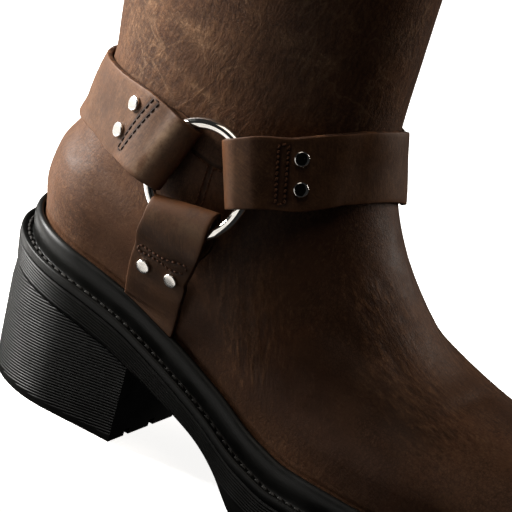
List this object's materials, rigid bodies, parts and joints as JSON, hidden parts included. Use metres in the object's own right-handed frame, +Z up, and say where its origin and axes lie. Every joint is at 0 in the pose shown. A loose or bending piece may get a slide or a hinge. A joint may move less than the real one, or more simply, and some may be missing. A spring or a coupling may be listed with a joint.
{
  "type": "biker boot",
  "caption": "Pull-on leather biker boot with an ankle harness of straps and rings, a rubber storm welt, a ribbed lug sole and a block heel.",
  "frame": {"origin": "on the floor under the middle of the boot's bounding box", "axes": "+X to the toe, +Y to the inner side of the foot, +Z up"},
  "size_m": [0.271, 0.1014, 0.29],
  "materials": {
    "upper_leather": "waxed and worn",
    "strap_leather": "smooth with burnished edges",
    "welt_rubber": "smooth satin",
    "sole_rubber": "ribbed satin",
    "footbed": "plain",
    "steel": "polished"
  },
  "bodies": {
    "root": {"upper": "upper_leather", "welt": "welt_rubber", "outsole": "sole_rubber", "heel": "sole_rubber", "insole": "footbed", "strap_front": "strap_leather", "strap_back": "strap_leather", "strap_down_outer": "strap_leather", "strap_down_inner": "strap_leather", "ring_outer": "steel", "ring_inner": "steel", "rivet_back_outer_upper": "steel", "rivet_back_outer_lower": "steel", "rivet_back_inner_upper": "steel", "rivet_back_inner_lower": "steel", "rivet_front_outer_upper": "steel", "rivet_front_outer_lower": "steel", "rivet_front_inner_upper": "steel", "rivet_front_inner_lower": "steel", "rivet_down_outer_upper": "steel", "rivet_down_outer_lower": "steel", "rivet_down_inner_upper": "steel", "rivet_down_inner_lower": "steel"}
  },
  "joints": []
}
